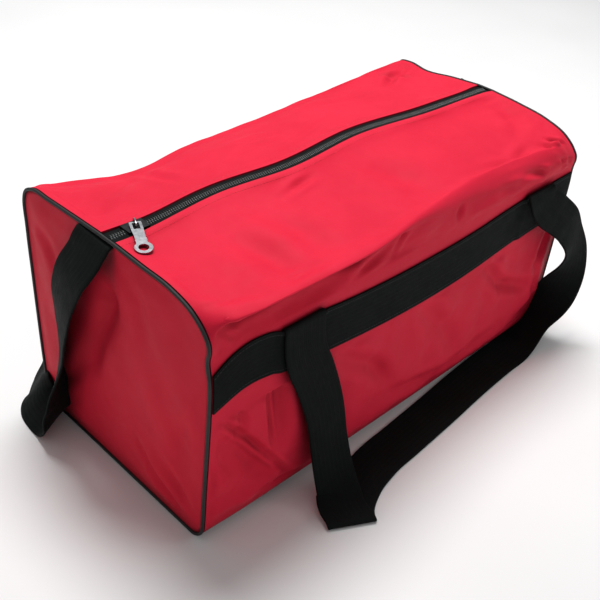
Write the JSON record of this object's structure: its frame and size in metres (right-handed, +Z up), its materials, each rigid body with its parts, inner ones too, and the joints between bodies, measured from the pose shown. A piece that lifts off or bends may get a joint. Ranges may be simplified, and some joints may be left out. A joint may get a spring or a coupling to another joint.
{
  "type": "hockey equipment bag",
  "caption": "Soft rectangular sports bag with a zip along the top, a handle on each long side, piped ends and a shoulder strap from end to end.",
  "frame": {"origin": "on the floor, under the middle of the bottom panel", "axes": "+X along the bag to its right end, away from the zip's closed end; -Y to the front; +Z up"},
  "size_m": [0.628, 0.494, 0.2854],
  "materials": {
    "red_fabric": "matt",
    "red_end_fabric": "matt",
    "black_webbing": "matt",
    "black_piping": "satin",
    "black_binding": "matt",
    "zip_tape": "matt",
    "zip_teeth": "satin",
    "nickel": "satin"
  },
  "bodies": {
    "bag": {"bottom_panel": "red_fabric", "front_side_panel": "red_fabric", "back_side_panel": "red_fabric", "front_top_end_left": "red_fabric", "front_top_end_right": "red_fabric", "back_top_end_left": "red_fabric", "back_top_end_right": "red_fabric", "left_end_panel": "red_end_fabric", "right_end_panel": "red_end_fabric", "left_end_piping": "black_piping", "right_end_piping": "black_piping", "left_seam_binding": "black_binding", "right_seam_binding": "black_binding", "left_zip_end_tape": "zip_tape", "right_zip_end_tape": "zip_tape", "left_zip_end_teeth": "zip_teeth", "right_zip_end_teeth": "zip_teeth", "front_band": "black_webbing", "back_band": "black_webbing", "front_handle_tab_left": "black_webbing", "front_handle_tab_right": "black_webbing", "back_handle_tab_left": "black_webbing", "back_handle_tab_right": "black_webbing", "left_strap_tab": "black_webbing", "right_strap_tab": "black_webbing"},
    "front_flap": {"front_top_panel": "red_fabric", "front_zip_tape": "zip_tape", "front_zip_teeth": "zip_teeth"},
    "back_flap": {"back_top_panel": "red_fabric", "back_zip_tape": "zip_tape", "back_zip_teeth": "zip_teeth"},
    "slider": {"zip_slider": "nickel", "zip_slider_bridge": "nickel"},
    "pull": {"zip_pull": "nickel"},
    "front_handle": {"front_handle": "black_webbing"},
    "back_handle": {"back_handle": "black_webbing"},
    "shoulder_strap": {"shoulder_strap": "black_webbing"}
  },
  "joints": [
    {"name": "zip_slide", "type": "slide", "parent": "bag", "child": "slider", "axis": [1, 0, 0], "range_m": [0, 0.4955]},
    {"name": "pull_swing", "type": "hinge", "parent": "slider", "child": "pull", "pos_m": [-0.245, 0, 0.2816], "axis": [-0.91, 0.4147, 0], "range_deg": [0, 155]},
    {"name": "front_flap_fold", "type": "hinge", "parent": "bag", "child": "front_flap", "pos_m": [0, -0.1375, 0.23], "axis": [1, 0, 0], "range_deg": [0, 60]},
    {"name": "back_flap_fold", "type": "hinge", "parent": "bag", "child": "back_flap", "pos_m": [0, 0.1375, 0.23], "axis": [-1, 0, 0], "range_deg": [0, 60]},
    {"name": "front_handle_swing", "type": "hinge", "parent": "bag", "child": "front_handle", "pos_m": [0, -0.1429, 0.2195], "axis": [-1, 0, 0], "range_deg": [0, 145]},
    {"name": "back_handle_swing", "type": "hinge", "parent": "bag", "child": "back_handle", "pos_m": [0, 0.1429, 0.2195], "axis": [1, 0, 0], "range_deg": [0, 145]},
    {"name": "shoulder_strap_swing", "type": "hinge", "parent": "bag", "child": "shoulder_strap", "pos_m": [0, 0.014, 0.27], "axis": [1, 0, 0], "range_deg": [0, 150]}
  ]
}
